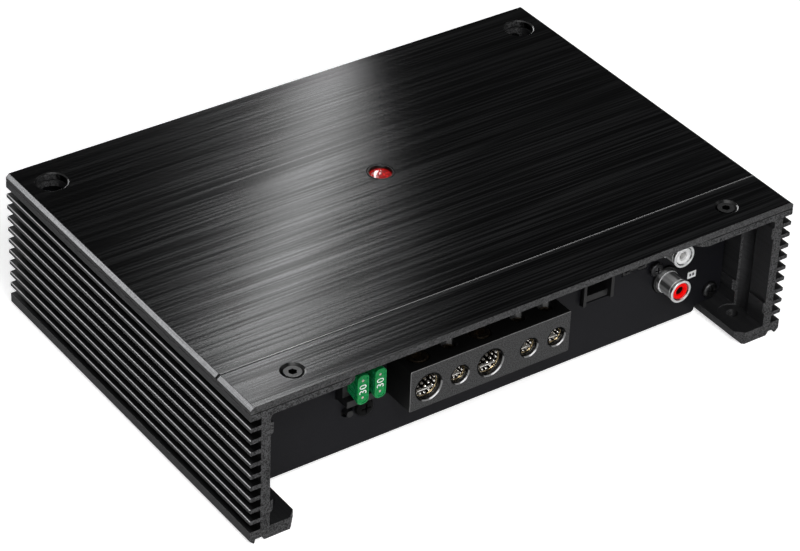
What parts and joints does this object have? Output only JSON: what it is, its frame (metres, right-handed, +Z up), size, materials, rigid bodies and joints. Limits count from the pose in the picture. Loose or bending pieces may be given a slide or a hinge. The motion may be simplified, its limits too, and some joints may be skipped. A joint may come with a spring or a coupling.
{
  "type": "car amplifier",
  "caption": "Compact in-car power amplifier: finned aluminium housing, brushed cover plate, lift-off terminal cover over screw terminals, blade fuses and signal inputs.",
  "frame": {"origin": "middle of the footprint, on the mounting surface under the feet", "axes": "+X along the width over the fins, -Y towards the connectors, +Z up through the cover plate"},
  "size_m": [0.222, 0.1574, 0.055],
  "materials": {
    "anodised_extrusion": "matt black anodised, finely bead-blasted, with saw-cut ends and worn bright fin edges",
    "brushed_black": "black anodised with fine brushing across the width, bright cut bevels at the sides",
    "panel_black": "satin black powder coat",
    "screw_black": "black oxide",
    "socket_black": "matt moulded black",
    "plated_brass": "bright nickel plate over brass",
    "set_screw_steel": "zinc plated",
    "fuse_green": "tinted, slightly translucent",
    "fuse_metal": "tinned zinc",
    "rca_red": "satin moulded red",
    "rca_white": "satin moulded white",
    "sheet_steel": "zinc plated sheet",
    "lens_red": "polished translucent red",
    "led_clear": "clear moulding",
    "board_green": "green solder mask",
    "winding_copper": "enamelled copper wire",
    "inductor_grey": "sintered ferrite",
    "capacitor_sleeve": "shrunk sleeve",
    "package_black": "moulded epoxy"
  },
  "bodies": {
    "housing": {"heatsink_extrusion": "anodised_extrusion", "top_cover_plate": "brushed_black", "front_panel": "panel_black", "rear_panel": "panel_black", "bottom_cover": "panel_black", "panel_screw_front_left": "screw_black", "panel_screw_front_right": "screw_black", "panel_screw_rear_left": "screw_black", "panel_screw_rear_right": "screw_black", "fuse_holder_screw": "screw_black", "rca_screw": "screw_black", "terminal_block": "socket_black", "fuse_holder": "socket_black", "rca_body": "socket_black", "high_level_socket": "socket_black", "remote_socket": "socket_black", "ground_contact": "plated_brass", "remote_contact": "plated_brass", "supply_contact": "plated_brass", "speaker_negative_contact": "plated_brass", "speaker_positive_contact": "plated_brass", "rca_barrel_lower": "plated_brass", "rca_barrel_upper": "plated_brass", "rca_insert_lower": "rca_red", "rca_insert_upper": "rca_white", "gain_pot": "sheet_steel", "low_pass_pot": "sheet_steel", "bass_pot": "sheet_steel", "phase_switch_body": "sheet_steel", "clamp_bar_left": "sheet_steel", "clamp_bar_right": "sheet_steel", "indicator_lens": "lens_red", "indicator_led": "led_clear", "circuit_board": "board_green", "control_board": "board_green", "power_toroid": "winding_copper", "output_inductor": "inductor_grey", "capacitor_left": "capacitor_sleeve", "capacitor_centre": "capacitor_sleeve", "capacitor_right": "capacitor_sleeve", "transistor_left_front": "package_black", "transistor_left_rear": "package_black", "transistor_right_front": "package_black", "transistor_right_rear": "package_black"},
    "terminal_cover": {"terminal_cover": "brushed_black"},
    "cover_screw_left": {"cover_screw_left": "screw_black"},
    "cover_screw_right": {"cover_screw_right": "screw_black"},
    "ground_set_screw": {"ground_set_screw": "set_screw_steel"},
    "remote_set_screw": {"remote_set_screw": "set_screw_steel"},
    "supply_set_screw": {"supply_set_screw": "set_screw_steel"},
    "speaker_negative_set_screw": {"speaker_negative_set_screw": "set_screw_steel"},
    "speaker_positive_set_screw": {"speaker_positive_set_screw": "set_screw_steel"},
    "fuse_left": {"fuse_left": "fuse_green", "fuse_left_element": "fuse_metal"},
    "fuse_right": {"fuse_right": "fuse_green", "fuse_right_element": "fuse_metal"},
    "gain_knob": {"gain_knob": "socket_black"},
    "low_pass_knob": {"low_pass_knob": "socket_black"},
    "bass_knob": {"bass_knob": "socket_black"},
    "phase_switch_lever": {"phase_switch_lever": "socket_black"}
  },
  "joints": [
    {"name": "terminal_cover_lift", "type": "slide", "parent": "housing", "child": "terminal_cover", "axis": [0, 0, 1], "range_m": [0, 0.03]},
    {"name": "cover_screw_left_travel", "type": "slide", "parent": "terminal_cover", "child": "cover_screw_left", "axis": [0, 0, 1], "range_m": [0, 0.012]},
    {"name": "cover_screw_right_travel", "type": "slide", "parent": "terminal_cover", "child": "cover_screw_right", "axis": [0, 0, 1], "range_m": [0, 0.012]},
    {"name": "ground_set_screw_travel", "type": "slide", "parent": "housing", "child": "ground_set_screw", "axis": [0, 0, 1], "range_m": [-0.007, 0]},
    {"name": "remote_set_screw_travel", "type": "slide", "parent": "housing", "child": "remote_set_screw", "axis": [0, 0, 1], "range_m": [-0.0046, 0]},
    {"name": "supply_set_screw_travel", "type": "slide", "parent": "housing", "child": "supply_set_screw", "axis": [0, 0, 1], "range_m": [-0.007, 0]},
    {"name": "speaker_negative_set_screw_travel", "type": "slide", "parent": "housing", "child": "speaker_negative_set_screw", "axis": [0, 0, 1], "range_m": [-0.0046, 0]},
    {"name": "speaker_positive_set_screw_travel", "type": "slide", "parent": "housing", "child": "speaker_positive_set_screw", "axis": [0, 0, 1], "range_m": [-0.0046, 0]},
    {"name": "fuse_left_pull", "type": "slide", "parent": "housing", "child": "fuse_left", "axis": [0, -1, 0], "range_m": [0, 0.012]},
    {"name": "fuse_right_pull", "type": "slide", "parent": "housing", "child": "fuse_right", "axis": [0, -1, 0], "range_m": [0, 0.012]},
    {"name": "gain_knob_turn", "type": "hinge", "parent": "housing", "child": "gain_knob", "pos_m": [-0.095, -0.0559, 0.041], "axis": [0, -1, 0], "range_deg": [-140, 140]},
    {"name": "low_pass_knob_turn", "type": "hinge", "parent": "housing", "child": "low_pass_knob", "pos_m": [-0.084, -0.0559, 0.041], "axis": [0, -1, 0], "range_deg": [-140, 140]},
    {"name": "bass_knob_turn", "type": "hinge", "parent": "housing", "child": "bass_knob", "pos_m": [-0.073, -0.0559, 0.041], "axis": [0, -1, 0], "range_deg": [-140, 140]},
    {"name": "phase_switch_travel", "type": "slide", "parent": "housing", "child": "phase_switch_lever", "axis": [1, 0, 0], "range_m": [0, 0.002]}
  ]
}
